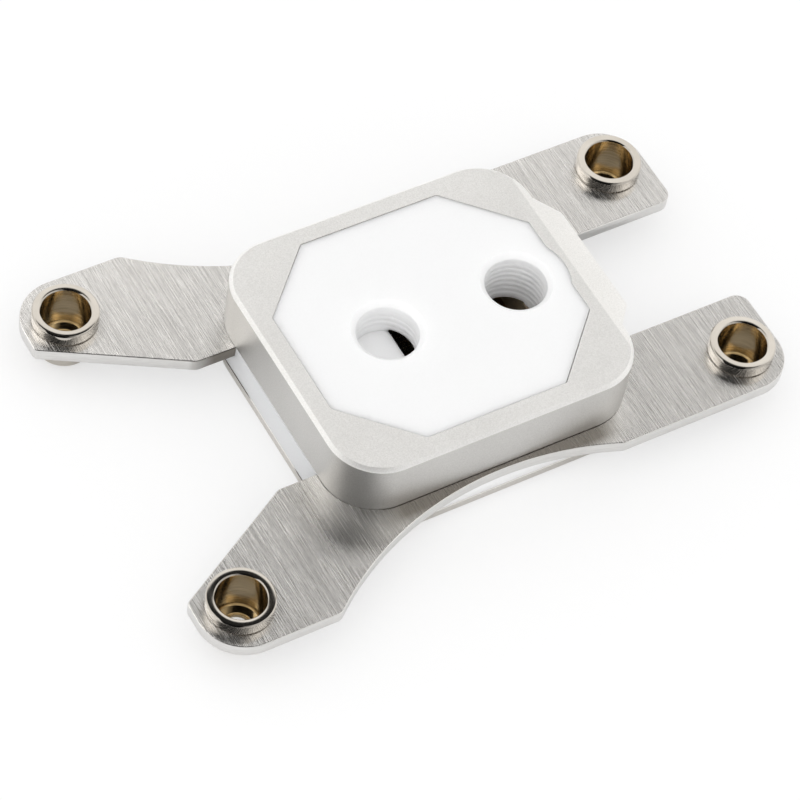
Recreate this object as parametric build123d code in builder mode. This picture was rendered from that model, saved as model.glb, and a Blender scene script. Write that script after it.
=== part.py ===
"""Liquid cooling cold plate: a processor water block on a four-arm mounting bracket.

Millimetres, +Z up.  The origin is the middle of the cold plate's contact face.
+X points along the longer reach of the bracket, towards the pair of arms whose
holes lie closer together.  From the bottom up: cold plate with its pin field,
seal, port insert, bracket, casing.  Screws from below hold the stack together.
"""
import os
from math import radians, sqrt, tan

from build123d import *

os.makedirs("parts", exist_ok=True)

# ---------------------------------------------------------------- driving dimensions
# Footprint shared by the casing, the insert's flange and the cold plate
body_length = 60.6          # X
body_width = 54.0           # Y
body_corner = 10.0          # corner radius in plan

# Heights of the stack
plate_thickness = 2.0
flange_thickness = 4.1      # acetal flange between cold plate and bracket
bracket_thickness = 2.6
casing_height = 11.76       # from the bracket to the casing's top

# Casing
casing_chamfer = 0.7
window_wall_x = 3.85        # casing wall beside the octagonal window, along X
window_wall_y = 3.8         # along Y
window_cut = 12.4           # leg of each 45 degree corner cut
window_fillet = 0.8
window_offset = 0.05        # the window's middle along X
insert_clearance = 0.12     # round the insert in the window
slope_inset = 1.6           # the top starts to fall this far inside the +X wall
slope_angle = 20.5          # degrees below horizontal
tab_length = 3.9            # how far the tab stands out of the +X wall
tab_root_width = 31.6       # Y where the tab leaves the casing
tab_edge_width = 23.0       # Y along the tab's outer edge
tab_thickness = 1.7         # height of the tab's outer edge
tab_fillet = 1.2
cut_margin = 1.0            # how far a cut runs past what it removes

# Ports, G 1/4
port_bore = 11.45           # thread minor diameter
port_chamfer = 0.95
inlet_x = -8.9
outlet_x = 17.5
inlet_depth = 7.75          # from the top face to the floor of the inlet port
outlet_depth = 12.0         # from the top face to the collecting chamber
port_boss_radius = 10.1     # bulge of the insert round the outlet port

# Water way inside the insert
plenum_width = 10.8         # X, slot that feeds the pin field
plenum_length = 26.0        # Y
plenum_overlap = 0.5        # how far the plenum rises above the inlet's floor
nozzle_margin = 0.7         # the nozzle block's rim round the pin field
drill_run = 0.5             # how far the outlet port is drilled past the chamber's roof
chamber_length = 45.0       # X, collecting chamber round the nozzle block
chamber_width = 34.0        # Y
chamber_corner = 7.0

# Cold plate
plate_edge = 0.3            # chamfer along the top edge

# Pin field, cut from the cold plate
field_length = 27.0         # X
field_width = 27.0          # Y
fin_thickness = 0.3
fin_pitch = 0.6
fin_height = 2.0
fin_clearance = 0.1         # between fin tips and the nozzle block
cross_slot = 0.3            # width of the slots cut across the fins
cross_count = 8

# Seal between cold plate and insert
seal_inset_x = 5.8          # from the plate's edge to the seal's middle line
seal_inset_y = 8.0
seal_corner = 12.0
seal_section = 1.6
seal_height = 1.2
seal_round = 0.4
groove_clearance = 0.2

# Bracket
hole_reach = 108.1          # X between the two pairs of holes
hole_shift = -0.9           # the hole pattern's middle along X
wide_pair = 66.7            # Y between the holes at -X
narrow_pair = 47.0          # Y between the holes at +X
arm_margin = 8.75           # from a hole's middle to the arm's outer edge
narrow_end_margin = 7.7     # from a hole's middle to the arm's end, at +X
wide_end_margin = 8.05      # from a hole's middle to the arm's end, at -X
waist_radius = 63.0         # concave flank between the arms
waist_sag = 4.35            # the flank's lowest point inside the +X arm's outer edge
narrow_gap = 24.0           # Y between the arms at +X
wide_gap = 30.2             # Y between the arms at -X, next to the casing
wide_gap_depth = 37.9       # X where the arms' inner edges start to spread
arm_spread = 29.4           # degrees of that spread
narrow_notch_margin = 1.2   # the +X notch's floor outside the casing
wide_notch_margin = 1.4     # the -X notch's floor under the casing
narrow_outer_corner = 8.0
narrow_inner_corner = 2.6
wide_outer_corner = 8.75
wide_inner_corner = 1.2
flank_corner = 2.0
ear_clearance = 0.1         # between the bracket and the insert's ear

# Bushings, turned brass
bushing_bore = 4.5          # radius
tube_wall = 0.6
collar_width = 1.0          # collar's radius beyond the tube's
collar_height = 2.54
collar_chamfer = 0.35
bore_chamfer = 0.32
bushing_clearance = 0.05    # in the bracket's hole
bushing_drop = 7.6          # tube end below the bracket's top face
floor_thickness = 1.0
floor_lip = 2.1             # width of the tube's floor, round its hole
floor_step = 0.35
collar_groove = 0.12        # depth of the turned line low on the collar
groove_height = 0.25

# Casing screws, M3 countersunk, and cold plate screws, M2.5 countersunk
casing_screw_radius = 1.5
casing_screw_head = 2.8
casing_screw_grip = 6.0     # length in the casing
casing_screw_inset = 5.1    # from the window's corner cut
plate_screw_radius = 1.25
plate_screw_head = 2.1
plate_screw_cover = 0.3     # acetal left over the end of its hole
head_land = 0.1             # straight rim of a countersunk head
screw_clearance = 0.15
thread_clearance = 0.03
tip_clearance = 0.4
head_sink = 0.05            # head below the contact face
socket_share = 0.62         # hexagon's radius against the shank's
socket_depth = 0.9
side_screw_inset = 2.7      # plate screws beside the -X and +X edges
side_screw_y = 9.5
end_screw_x = 9.0           # plate screws beside the -Y and +Y edges
end_screw_inset = 3.8

# ---------------------------------------------------------------- derived places
flange_z = plate_thickness
bracket_z = flange_z + flange_thickness
casing_z = bracket_z + bracket_thickness
top_z = casing_z + casing_height
half_length = body_length / 2
half_width = body_width / 2
fin_top_z = plate_thickness + fin_height
inlet_floor_z = top_z - inlet_depth
chamber_top_z = top_z - outlet_depth
plate_screw_grip = flange_thickness - tip_clearance - plate_screw_cover

window_length = body_length - 2 * window_wall_x
window_width = body_width - 2 * window_wall_y
slope_start = half_length - slope_inset
tab_reach = half_length + tab_length
nozzle_length = field_length + 2 * nozzle_margin
nozzle_width = field_width + 2 * nozzle_margin
seal_length = body_length - 2 * seal_inset_x
seal_width = body_width - 2 * seal_inset_y
tube_radius = bushing_bore + tube_wall
collar_radius = tube_radius + collar_width

wide_hole_x = hole_shift - hole_reach / 2
narrow_hole_x = hole_shift + hole_reach / 2
bushing_places = {
    "wide_front": (wide_hole_x, -wide_pair / 2),
    "wide_rear": (wide_hole_x, wide_pair / 2),
    "narrow_front": (narrow_hole_x, -narrow_pair / 2),
    "narrow_rear": (narrow_hole_x, narrow_pair / 2),
}

diagonal = casing_screw_inset / sqrt(2)
casing_screw_x = window_length / 2 - window_cut / 2 + diagonal
casing_screw_y = window_width / 2 - window_cut / 2 + diagonal
casing_screw_places = [
    (sx * casing_screw_x, sy * casing_screw_y) for sx in (-1, 1) for sy in (-1, 1)
]
side_screw_x = half_length - side_screw_inset
end_screw_y = half_width - end_screw_inset
plate_screw_places = [
    (sx * side_screw_x, sy * side_screw_y) for sx in (-1, 1) for sy in (-1, 1)
] + [(sx * end_screw_x, sy * end_screw_y) for sx in (-1, 1) for sy in (-1, 1)]


def window_outline(gap):
    """Octagon with the outlet's bulge, drawn smaller all round by gap."""
    with BuildSketch(mode=Mode.PRIVATE) as outline:
        with Locations((window_offset, 0)):
            Rectangle(window_length, window_width)
        chamfer(outline.vertices(), window_cut)
        fillet(outline.vertices(), window_fillet)
        with Locations((outlet_x, 0)):
            Circle(port_boss_radius)
        if gap:
            offset(amount=-gap, mode=Mode.REPLACE)
    return outline.sketch


# ---------------------------------------------------------------- casing
with BuildPart() as casing:
    with BuildSketch(Plane.XY.offset(casing_z)):
        RectangleRounded(body_length, body_width, body_corner)
    extrude(amount=casing_height)
    chamfer(casing.faces().sort_by(Axis.Z)[-1].edges(), casing_chamfer)
    # the tab: a trapezium in plan, with a rising underside
    tab_edge_z = top_z - (tab_reach - slope_start) * tan(radians(slope_angle))
    with BuildSketch(Plane.XY.offset(tab_edge_z - tab_thickness)) as tab_plan:
        with BuildLine():
            Polyline(
                (slope_start, tab_root_width / 2),
                (half_length, tab_root_width / 2),
                (tab_reach, tab_edge_width / 2),
                (tab_reach, -tab_edge_width / 2),
                (half_length, -tab_root_width / 2),
                (slope_start, -tab_root_width / 2),
                close=True,
            )
        make_face()
        fillet(tab_plan.vertices().group_by(Axis.X)[-1], tab_fillet)
    extrude(amount=top_z - casing_chamfer - tab_edge_z + tab_thickness)
    # the slope that the tab and the casing's edge share
    slope_end = tab_reach + cut_margin
    slope_end_z = top_z - (slope_end - slope_start) * tan(radians(slope_angle))
    with BuildSketch(Plane.XZ):
        with BuildLine():
            Polyline(
                (slope_start, top_z),
                (slope_end, slope_end_z),
                (slope_end, top_z + cut_margin),
                (slope_start, top_z + cut_margin),
                close=True,
            )
        make_face()
    extrude(amount=body_width, both=True, mode=Mode.SUBTRACT)
    with BuildSketch(Plane.XY.offset(casing_z)):
        add(window_outline(0))
    extrude(amount=casing_height, mode=Mode.SUBTRACT)
    with BuildSketch(Plane.XY.offset(casing_z)):
        with Locations(*casing_screw_places):
            Circle(casing_screw_radius + thread_clearance)
    extrude(amount=casing_screw_grip + tip_clearance, mode=Mode.SUBTRACT)
casing.part.label = "casing"

# ---------------------------------------------------------------- port insert
with BuildPart() as port_insert:
    with BuildSketch(Plane.XY.offset(flange_z)):
        RectangleRounded(body_length, body_width, body_corner)
    extrude(amount=flange_thickness)
    # ear that fills the bracket's notch under the casing
    ear_depth = wide_notch_margin - ear_clearance
    with BuildSketch(Plane.XY.offset(bracket_z)):
        with Locations((-half_length, 0)):
            Rectangle(ear_depth, wide_gap - 2 * ear_clearance, align=(Align.MIN, Align.CENTER))
    extrude(amount=bracket_thickness)
    with BuildSketch(Plane.XY.offset(bracket_z)):
        add(window_outline(insert_clearance))
    extrude(amount=top_z - bracket_z)
    # collecting chamber, a ring round the nozzle block
    with BuildSketch(Plane.XY.offset(flange_z)):
        RectangleRounded(chamber_length, chamber_width, chamber_corner)
        Rectangle(nozzle_length, nozzle_width, mode=Mode.SUBTRACT)
    extrude(amount=chamber_top_z - flange_z, mode=Mode.SUBTRACT)
    # room for the pin field under the nozzle block
    with BuildSketch(Plane.XY.offset(flange_z)):
        Rectangle(nozzle_length, nozzle_width)
    extrude(amount=fin_height + fin_clearance, mode=Mode.SUBTRACT)
    # plenum over the pins
    with BuildSketch(Plane.XY.offset(flange_z)):
        Rectangle(plenum_width, plenum_length)
    extrude(amount=inlet_floor_z + plenum_overlap - flange_z, mode=Mode.SUBTRACT)
    # ports
    with Locations((inlet_x, 0, top_z)):
        Hole(port_bore / 2, inlet_depth)
    with Locations((outlet_x, 0, top_z)):
        Hole(port_bore / 2, outlet_depth + drill_run)
    mouths = port_insert.faces().sort_by(Axis.Z)[-1].edges().filter_by(GeomType.CIRCLE)
    chamfer(
        [e for e in mouths if abs(e.radius - port_bore / 2) < 0.01 and e.is_closed],
        port_chamfer,
    )
    # seal groove
    with BuildSketch(Plane.XY.offset(flange_z)):
        groove_half = seal_section / 2 + groove_clearance
        RectangleRounded(
            seal_length + 2 * groove_half, seal_width + 2 * groove_half, seal_corner + groove_half
        )
        RectangleRounded(
            seal_length - 2 * groove_half,
            seal_width - 2 * groove_half,
            seal_corner - groove_half,
            mode=Mode.SUBTRACT,
        )
    extrude(amount=seal_height, mode=Mode.SUBTRACT)
    # screw holes
    with BuildSketch(Plane.XY.offset(flange_z)):
        with Locations(*casing_screw_places):
            Circle(casing_screw_radius + screw_clearance)
    extrude(amount=flange_thickness, mode=Mode.SUBTRACT)
    with BuildSketch(Plane.XY.offset(flange_z)):
        with Locations(*plate_screw_places):
            Circle(plate_screw_radius + thread_clearance)
    extrude(amount=plate_screw_grip + tip_clearance, mode=Mode.SUBTRACT)
port_insert.part.label = "port_insert"

# ---------------------------------------------------------------- mounting bracket
with BuildPart() as mounting_bracket:
    narrow_end_x = narrow_hole_x + narrow_end_margin
    wide_end_x = wide_hole_x - wide_end_margin
    narrow_edge_y = narrow_pair / 2 + arm_margin
    wide_edge_y = wide_pair / 2 + arm_margin
    narrow_notch = half_length + narrow_notch_margin
    wide_notch = half_length - wide_notch_margin
    waist_low_y = narrow_edge_y - waist_sag
    waist_y = waist_low_y + waist_radius
    flank_narrow_x = sqrt(waist_radius**2 - (waist_y - narrow_edge_y) ** 2)
    flank_wide_x = -sqrt(waist_radius**2 - (waist_y - wide_edge_y) ** 2)
    spread_end_y = wide_gap / 2 + (-wide_gap_depth - wide_end_x) * tan(radians(arm_spread))
    wide_end_width = wide_edge_y - spread_end_y
    with BuildSketch(Plane.XY.offset(bracket_z)) as bracket_plan:
        with BuildLine():
            Polyline(
                (narrow_notch, 0),
                (narrow_notch, narrow_gap / 2),
                (narrow_end_x, narrow_gap / 2),
                (narrow_end_x, narrow_edge_y),
                (flank_narrow_x, narrow_edge_y),
            )
            ThreePointArc(
                (flank_narrow_x, narrow_edge_y), (0, waist_low_y), (flank_wide_x, wide_edge_y)
            )
            Polyline(
                (flank_wide_x, wide_edge_y),
                (wide_end_x, wide_edge_y),
                (wide_end_x, spread_end_y),
                (-wide_gap_depth, wide_gap / 2),
                (-wide_notch, wide_gap / 2),
                (-wide_notch, 0),
                (narrow_notch, 0),
            )
        make_face()
        mirror(about=Plane.XZ)
        # every corner of the outline that is rounded, with its radius
        for corner_x, corner_y, radius in (
            (narrow_end_x, narrow_edge_y, narrow_outer_corner),
            (narrow_end_x, narrow_gap / 2, narrow_inner_corner),
            (wide_end_x, wide_edge_y, min(wide_outer_corner, wide_end_width - wide_inner_corner)),
            (wide_end_x, spread_end_y, wide_inner_corner),
            (flank_narrow_x, narrow_edge_y, flank_corner),
            (flank_wide_x, wide_edge_y, flank_corner),
            (-wide_gap_depth, wide_gap / 2, flank_corner),
        ):
            at_x = bracket_plan.vertices().filter_by(lambda v: abs(v.X - corner_x) < 0.01)
            fillet(at_x.filter_by(lambda v: abs(abs(v.Y) - corner_y) < 0.01), radius)
    extrude(amount=bracket_thickness)
    with BuildSketch(Plane.XY.offset(bracket_z)):
        add(window_outline(0))
        with Locations(*bushing_places.values()):
            Circle(tube_radius + bushing_clearance)
        with Locations(*casing_screw_places):
            Circle(casing_screw_radius + screw_clearance)
    extrude(amount=bracket_thickness, mode=Mode.SUBTRACT)
mounting_bracket.part.label = "mounting_bracket"

# ---------------------------------------------------------------- cold plate
with BuildPart() as cold_plate:
    with BuildSketch():
        RectangleRounded(body_length, body_width, body_corner)
    extrude(amount=plate_thickness)
    chamfer(cold_plate.faces().sort_by(Axis.Z)[-1].edges(), plate_edge)
    # skived fins, run across the plenum and slotted crosswise into pins
    with BuildSketch(Plane.XY.offset(plate_thickness)):
        fin_count = int(field_width / fin_pitch)
        with GridLocations(field_length, fin_pitch, 1, fin_count):
            Rectangle(field_length, fin_thickness)
        slot_pitch = field_length / (cross_count + 1)
        with GridLocations(slot_pitch, field_width, cross_count, 1):
            Rectangle(cross_slot, field_width, mode=Mode.SUBTRACT)
    extrude(amount=fin_height)
    for places, radius, head in (
        (casing_screw_places, casing_screw_radius, casing_screw_head),
        (plate_screw_places, plate_screw_radius, plate_screw_head),
    ):
        with Locations(Plane.XY.rotated((180, 0, 0))):
            with Locations(*places):
                CounterSinkHole(
                    radius + screw_clearance,
                    head + head_land + head_sink + screw_clearance,
                    depth=plate_thickness,
                    counter_sink_angle=90,
                )
cold_plate.part.label = "cold_plate"

# ---------------------------------------------------------------- main seal
with BuildPart() as main_seal:
    with BuildSketch(Plane.XY.offset(flange_z)):
        RectangleRounded(
            seal_length + seal_section, seal_width + seal_section, seal_corner + seal_section / 2
        )
        RectangleRounded(
            seal_length - seal_section,
            seal_width - seal_section,
            seal_corner - seal_section / 2,
            mode=Mode.SUBTRACT,
        )
    extrude(amount=seal_height)
    fillet(main_seal.edges().filter_by(Plane.XY), seal_round)
main_seal.part.label = "main_seal"


# ---------------------------------------------------------------- bushings
def bushing(label, x, y):
    """Turned bushing: a collar on the bracket and a thin tube with a holed floor."""
    collar_top = casing_z + collar_height
    tube_end = casing_z - bushing_drop
    floor_z = tube_end + floor_thickness
    floor_hole = bushing_bore - floor_lip
    groove_z = casing_z + groove_height
    with BuildPart() as piece:
        with BuildSketch(Plane((x, y, 0), x_dir=(1, 0, 0), z_dir=(0, -1, 0))):
            with BuildLine():
                Polyline(
                    (floor_hole, tube_end),
                    (tube_radius - floor_step, tube_end),
                    (tube_radius, tube_end + floor_step),
                    (tube_radius, casing_z),
                    (collar_radius - collar_groove, casing_z),
                    (collar_radius - collar_groove, groove_z),
                    (collar_radius, groove_z + collar_groove),
                    (collar_radius, collar_top - collar_chamfer),
                    (collar_radius - collar_chamfer, collar_top),
                    (bushing_bore + bore_chamfer, collar_top),
                    (bushing_bore, collar_top - bore_chamfer),
                    (bushing_bore, floor_z + floor_step),
                    (bushing_bore - floor_step, floor_z),
                    (floor_hole + floor_step, floor_z),
                    (floor_hole, floor_z - floor_step),
                    close=True,
                )
            make_face()
        revolve(axis=Axis((x, y, 0), (0, 0, 1)))
    piece.part.label = label
    return piece


bushings = [bushing("bushing_" + name, *place) for name, place in bushing_places.items()]


# ---------------------------------------------------------------- screws
def countersunk_screw(label, x, y, radius, head, reach):
    """Countersunk screw, head down in the cold plate, with a hexagon socket."""
    cone_z = head_land + head - radius
    with BuildPart() as piece:
        with BuildSketch(Plane((x, y, 0), x_dir=(1, 0, 0), z_dir=(0, -1, 0))):
            with BuildLine():
                Polyline(
                    (0, head_sink),
                    (head, head_sink),
                    (head, head_sink + head_land),
                    (radius, head_sink + cone_z),
                    (radius, reach - head_land),
                    (radius - head_land, reach),
                    (0, reach),
                    close=True,
                )
            make_face()
        revolve(axis=Axis((x, y, 0), (0, 0, 1)))
        with BuildSketch(Plane.XY.offset(head_sink)):
            with Locations((x, y)):
                RegularPolygon(radius * socket_share, 6)
        extrude(amount=socket_depth, mode=Mode.SUBTRACT)
    piece.part.label = label
    return piece


casing_screws = [
    countersunk_screw(
        f"casing_screw_{number}",
        x,
        y,
        casing_screw_radius,
        casing_screw_head,
        casing_z + casing_screw_grip,
    )
    for number, (x, y) in enumerate(casing_screw_places, 1)
]
plate_screws = [
    countersunk_screw(
        f"plate_screw_{number}",
        x,
        y,
        plate_screw_radius,
        plate_screw_head,
        flange_z + plate_screw_grip,
    )
    for number, (x, y) in enumerate(plate_screw_places, 1)
]

# ---------------------------------------------------------------- export
pieces = [casing, port_insert, mounting_bracket, cold_plate, main_seal]
for piece in pieces + bushings + casing_screws + plate_screws:
    export_step(piece.part, f"parts/{piece.part.label}.step")
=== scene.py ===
"""Looks of a liquid cooling cold plate.

A satin aluminium casing holds a white acetal insert with two threaded ports.  Between
them lies a brushed steel bracket whose four arms end in turned, nickel-plated bushings.
Below is the nickel-plated copper plate with its field of pins.
Outlines are drawn in millimetres and become metres when a mesh is made.
"""
import math

import bmesh
import bpy
from mathutils import Matrix, Vector


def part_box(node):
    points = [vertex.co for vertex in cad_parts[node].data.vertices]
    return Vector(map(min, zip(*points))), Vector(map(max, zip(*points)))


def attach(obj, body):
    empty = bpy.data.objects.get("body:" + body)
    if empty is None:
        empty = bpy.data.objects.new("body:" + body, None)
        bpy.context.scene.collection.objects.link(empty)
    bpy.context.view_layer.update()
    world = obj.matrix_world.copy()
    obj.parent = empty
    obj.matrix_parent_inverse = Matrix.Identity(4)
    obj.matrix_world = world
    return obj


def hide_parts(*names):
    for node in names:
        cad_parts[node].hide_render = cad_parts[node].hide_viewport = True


MM = 0.001

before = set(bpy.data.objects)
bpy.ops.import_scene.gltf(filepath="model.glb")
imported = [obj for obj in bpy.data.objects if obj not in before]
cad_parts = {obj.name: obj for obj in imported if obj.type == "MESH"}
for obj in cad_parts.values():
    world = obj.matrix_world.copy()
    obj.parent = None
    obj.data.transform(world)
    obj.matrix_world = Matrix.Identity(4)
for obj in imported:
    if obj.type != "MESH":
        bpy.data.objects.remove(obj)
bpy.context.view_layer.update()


def node_box(node):
    """Lowest and highest corner of a CAD node, in millimetres."""
    low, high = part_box(node)
    return low / MM, high / MM


# ---------------------------------------------------------------- sizes, from the CAD parts
casing_low, casing_high = node_box("casing")
plate_low, plate_high = node_box("cold_plate")
bracket_low, bracket_high = node_box("mounting_bracket")
insert_low = node_box("port_insert")[0]

body_length = plate_high.x - plate_low.x
body_width = plate_high.y - plate_low.y
body_corner = 10.0
top_z = casing_high.z
seat_z = casing_low.z
plate_top = insert_low.z

# ---------------------------------------------------------------- sizes of the features
# Casing.  Steps are (inset, height) pairs: a fine groove above the seat, and the
# softened foot of the chamfer.
groove_steps = ((0.3, 0), (0.3, 0.16), (0.03, 0.2), (0, 0.26))
casing_chamfer = 0.7
chamfer_foot_steps = ((0, -0.1), (0.02, -0.02), (0.08, 0.08))
chamfer_border = 0.35
slope_start = body_length / 2 - 1.6
slope_angle = math.radians(20.5)
tab_reach = casing_high.x
tab_root_width = 31.6
tab_edge_width = 23.0
tab_thickness = 1.7
tab_fillet = 1.2
tab_overlap = 0.4

# Window of the casing, filled by the insert
window_length = 52.9
window_width = 46.4
window_cut = 12.4
window_fillet = 0.8
window_offset = 0.05
window_gap = 0.07
window_slack = 0.09
window_round = 0.06

# Ports
inlet_x = -8.9
outlet_x = 17.5
port_radius = 5.725
inlet_depth = 7.75
outlet_depth = 12.0
port_chamfer = 0.95
port_boss_radius = 10.1
thread_pitch = 1.337
thread_depth = 0.26
thread_runout = 3 * thread_pitch
thread_floor_gap = 0.4
thread_top_gap = port_chamfer * 0.6
plug_clearance = 0.06

# Bracket
wide_hole = Vector((-54.95, 33.35))
narrow_hole = Vector((53.15, 23.5))
wide_end_margin = 8.05
narrow_end_margin = 7.7
arm_margin = 8.75
wide_corner = 8.75
wide_inner_corner = 1.2
narrow_corner = 8.0
narrow_inner_corner = 2.6
flank_corner = 2.0
gap_corner = 2.0
waist_radius = 63.0
waist_low_y = 27.9
waist_end_room = 1.3
narrow_gap = 24.0
wide_gap = 30.2
wide_gap_depth = 37.9
arm_spread = math.radians(29.4)
narrow_notch = body_length / 2 + 1.2
wide_notch = body_length / 2 - 1.4
bracket_edge_round = 0.22
hole_clearance = 0.05

# Bushings
bushing_bore = 4.5
bore_chamfer = 0.2
tube_radius = 5.1
tube_chamfer = 0.35
collar_radius = 6.1
collar_height = 2.54
collar_chamfer = 0.24
collar_lift = 0.01
collar_groove = 0.3
collar_groove_low = 0.17
collar_groove_high = 0.27
bushing_drop = 7.6
floor_thickness = 1.0
floor_hole = 2.4
floor_chamfer = 0.35
small_round = 0.03
middle_round = 0.05
large_round = 0.08
bore_slack = 0.02
bore_lip = 0.5

# Plate.  Edge steps are (inset, depth) pairs down its softened upper edge.
plate_foot_round = 0.12
plate_edge_steps = ((0, 0.34), (0.05, 0.22), (0.22, 0.05), (0.34, 0))
edge_band = 0.36
outer_share = 0.48
corner_reach = 30.0
# Painted shade on the plate's upper edge, on its -X side: the share of the length past which it
# lies, and where it starts and is full along Y
painted_shade_side_share = 0.49
painted_shade_start = 8.0
painted_shade_full = 9.5

# Screws, their holes in the plate: shank and head radius
casing_screw_place = Vector((23.856, 20.606))
casing_screw_hole = (1.65, 3.1)
plate_screw_places = (Vector((27.6, 9.5)), Vector((9.0, 23.2)))
plate_screw_hole = (1.4, 2.4)

# Chamber and pin field
chamber_length = 45.0
chamber_width = 34.0
chamber_end_room = 1.0
chamber_slack = 0.1
field_length = 27.0
field_width = 27.0
pin_pitch = 0.6
pin_width = 0.3
pin_root = 0.02

# Limits that tell one finish's faces from the next's
level_slack = 0.01
# Faces of the insert past this share of the length and below the seat, its flange and ear, take
# painted shade
flange_share = 0.43
sheet_edge_slope = 0.8
# Faces steeper than this are the casing's walls, which take painted shade
casing_wall_slope = 0.35

# Angles in degrees past which an edge is shaded sharp
casing_sharp = 18
insert_sharp = 30
plate_sharp = 35
bushing_sharp = 9

# UV units in a metre, of the brushing and of the turning marks
grain_scale = 8
turned_scale = 20

# Floor, in metres, and the share of it that glows
floor_size = 6.0
floor_drop = 0.00005
floor_glow = 0.55

# Camera: azimuth, elevation and roll in degrees, and its place in millimetres
lens_length = 161.65
camera_turn = (-38.2519, 53.2126, 11.045)
camera_place = (-245.0, -306.52, 518.35)

# Even light: the direction it is brightest from, its least and its most
even_from = (215, 15)
even_least = 0.74
even_most = 1.28

# Soft patches on the tent's walls: azimuth, elevation, inner and outer angle in degrees,
# and the share by which they are brighter or darker than the walls
tent_patches = (
    (58, 50, 12.0, 26.0, 0.2),  # far wall, mirrored by level tops
    (322, 50, 14.0, 28.0, 0.7),  # softbox on the camera's right
    (295, 10, 20.0, 40.0, -0.3),  # low, between the camera and its right
    (136, 60, 14.0, 26.0, 1.9),  # softbox on the camera's left
    (50, 84, 28.0, 30.0, -0.98),  # dark ceiling
    (217, 50, 28.0, 31.5, -0.99),  # dark screen round the camera
    (243, 50, 16.0, 36.0, -0.75),  # its soft side
)


# ---------------------------------------------------------------- outlines
def arc(centre, radius, start, end, steps):
    """Points along an arc, angles in radians, both ends included."""
    return [
        Vector(
            (
                centre[0] + radius * math.cos(start + (end - start) * k / steps),
                centre[1] + radius * math.sin(start + (end - start) * k / steps),
            )
        )
        for k in range(steps + 1)
    ]


def rounded(corners, segment=0.25):
    """Closed outline through (x, y, radius) corners, each rounded with a tangent arc."""
    points = []
    count = len(corners)
    for k, (x, y, radius) in enumerate(corners):
        here = Vector((x, y))
        if radius <= 0:
            points.append(here)
            continue
        before = Vector(corners[k - 1][:2]) - here
        after = Vector(corners[(k + 1) % count][:2]) - here
        before.normalize()
        after.normalize()
        half = before.angle(after) / 2
        setback = radius / math.tan(half)
        middle = here + (before + after).normalized() * (radius / math.sin(half))
        first = here + before * setback - middle
        last = here + after * setback - middle
        turn = first.angle_signed(last)
        steps = max(3, int(abs(turn) * radius / segment))
        start = math.atan2(first.y, first.x)
        points += arc(middle, radius, start, start - turn, steps)
    return points


def rectangle(length, width, radius):
    """Rectangle round the origin with rounded corners."""
    half_x, half_y = length / 2, width / 2
    corners = ((half_x, -half_y), (half_x, half_y), (-half_x, half_y), (-half_x, -half_y))
    return rounded([(x, y, radius) for x, y in corners])


def circle(centre, radius, steps=96):
    """Closed circle; its first point isn't repeated."""
    return arc(centre, radius, 0, math.tau, steps)[:-1]


def window(inset, slack=0.0):
    """Octagon with the outlet port's bulge, counter-clockwise.  Slack widens the gap
    along its rear edge and its front right corner."""
    half_x, half_y = window_length / 2 - inset, window_width / 2 - inset
    cut = window_cut - inset * (2 - math.sqrt(2))
    bulge = port_boss_radius - inset
    right = window_offset + half_x
    left = window_offset - half_x
    rise = math.sqrt(bulge**2 - (right - outlet_x) ** 2)
    angle = math.atan2(rise, right - outlet_x)
    lower = [(left, half_y - cut), (left, cut - half_y), (left + cut, -half_y)]
    lower += [(right - cut + slack, -half_y), (right, cut - slack - half_y)]
    upper = [(right, half_y - cut), (right - cut, half_y + slack), (left + cut, half_y + slack)]
    points = rounded([(x, y, window_fillet) for x, y in lower + upper])
    swell = arc((outlet_x, 0), bulge, -angle, angle, 24)
    at = next(k for k, p in enumerate(points) if p.x > right - 0.01 and p.y > 0)
    return points[:at] + swell + points[at:]


def inset_loop(points, distance):
    """The outline moved inwards by distance; it runs counter-clockwise."""
    moved = []
    count = len(points)
    for k, here in enumerate(points):
        back = (here - points[k - 1]).normalized()
        ahead = (points[(k + 1) % count] - here).normalized()
        first = Vector((-back.y, back.x))
        second = Vector((-ahead.y, ahead.x))
        moved.append(here + (first + second) * (distance / (1 + first.dot(second))))
    return moved


def rim(radius, z, rising, steps=3):
    """(inset, height) pairs round an edge: rising from a bottom edge, else at a top edge."""
    turns = [math.pi / 2 * k / steps for k in range(steps + 1)]
    if rising:
        return [(radius * (1 - math.sin(t)), z + radius * (1 - math.cos(t))) for t in turns]
    return [(radius * (1 - math.cos(t)), z - radius * (1 - math.sin(t))) for t in turns]


# ---------------------------------------------------------------- meshes
def slab(outline, levels, holes=()):
    """A bmesh of stacked rings.  levels are (inset, z) pairs; holes are (outline, levels),
    whose insets widen the hole.  Top and bottom are closed round the holes."""
    mesh = bmesh.new()
    ends = ([], [])
    for points, heights, side in [(outline, levels, 1)] + [(h, s, -1) for h, s in holes]:
        rings = []
        for inset, z in heights:
            moved = inset_loop(points, side * inset)
            rings.append([mesh.verts.new((p.x * MM, p.y * MM, z * MM)) for p in moved])
        count = len(points)
        for low, high in zip(rings, rings[1:]):
            for k in range(count):
                after = (k + 1) % count
                quad = [low[k], low[after], high[after], high[k]]
                mesh.faces.new(quad if side > 0 else quad[::-1]).smooth = True
        ends[0].extend(mesh.edges.get((rings[0][k - 1], rings[0][k])) for k in range(count))
        ends[1].extend(mesh.edges.get((rings[-1][k - 1], rings[-1][k])) for k in range(count))
    for edges, way in ((ends[0], -1), (ends[1], 1)):
        made = bmesh.ops.triangle_fill(
            mesh, edges=edges, use_beauty=True, use_dissolve=False, normal=(0, 0, way)
        )
        for item in made["geom"]:
            if isinstance(item, bmesh.types.BMFace):
                item.normal_update()
                if item.normal.z * way < 0:
                    item.normal_flip()
    return mesh


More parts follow.
